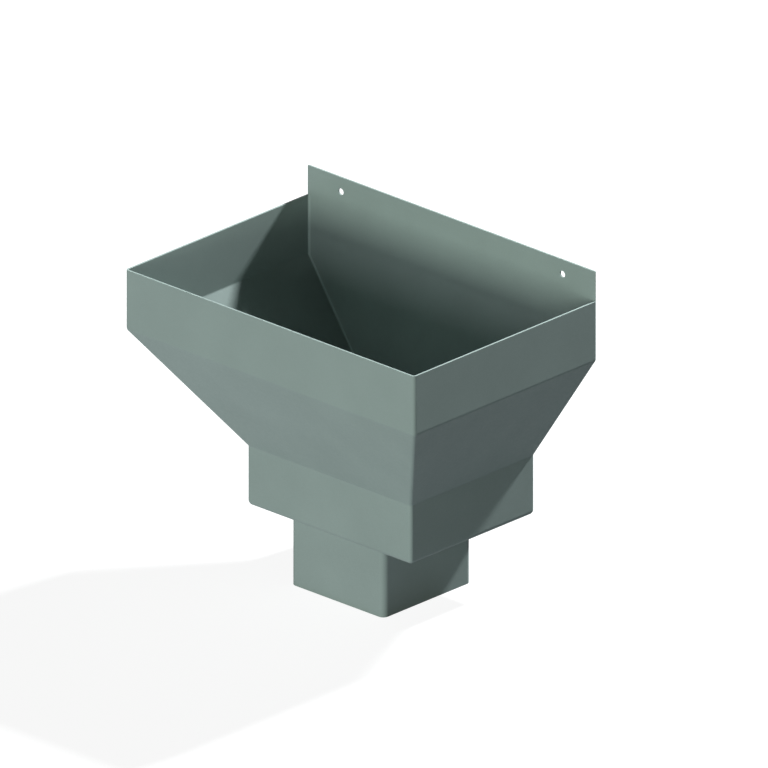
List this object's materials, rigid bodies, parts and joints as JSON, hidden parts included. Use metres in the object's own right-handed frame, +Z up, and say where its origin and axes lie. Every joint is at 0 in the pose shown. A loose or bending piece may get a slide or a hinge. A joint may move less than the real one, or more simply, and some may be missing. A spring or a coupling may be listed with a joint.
{
  "type": "downpipe hopper head",
  "caption": "Rainwater hopper head: an open rectangular mouth on a flat back, three sides tapering to a box with a square outlet spigot, and a back plate drilled for the wall.",
  "frame": {"origin": "midway between the two fixing holes, on the back face that lies against the wall", "axes": "+Z up, +Y into the wall, +X along the wall to the right as seen from the front; the mouth looks up and the spigot points down"},
  "size_m": [0.3, 0.201, 0.275],
  "materials": {
    "powder_coat": "satin powder coat"
  },
  "bodies": {
    "root": {"hopper_body": "powder_coat"}
  },
  "joints": []
}
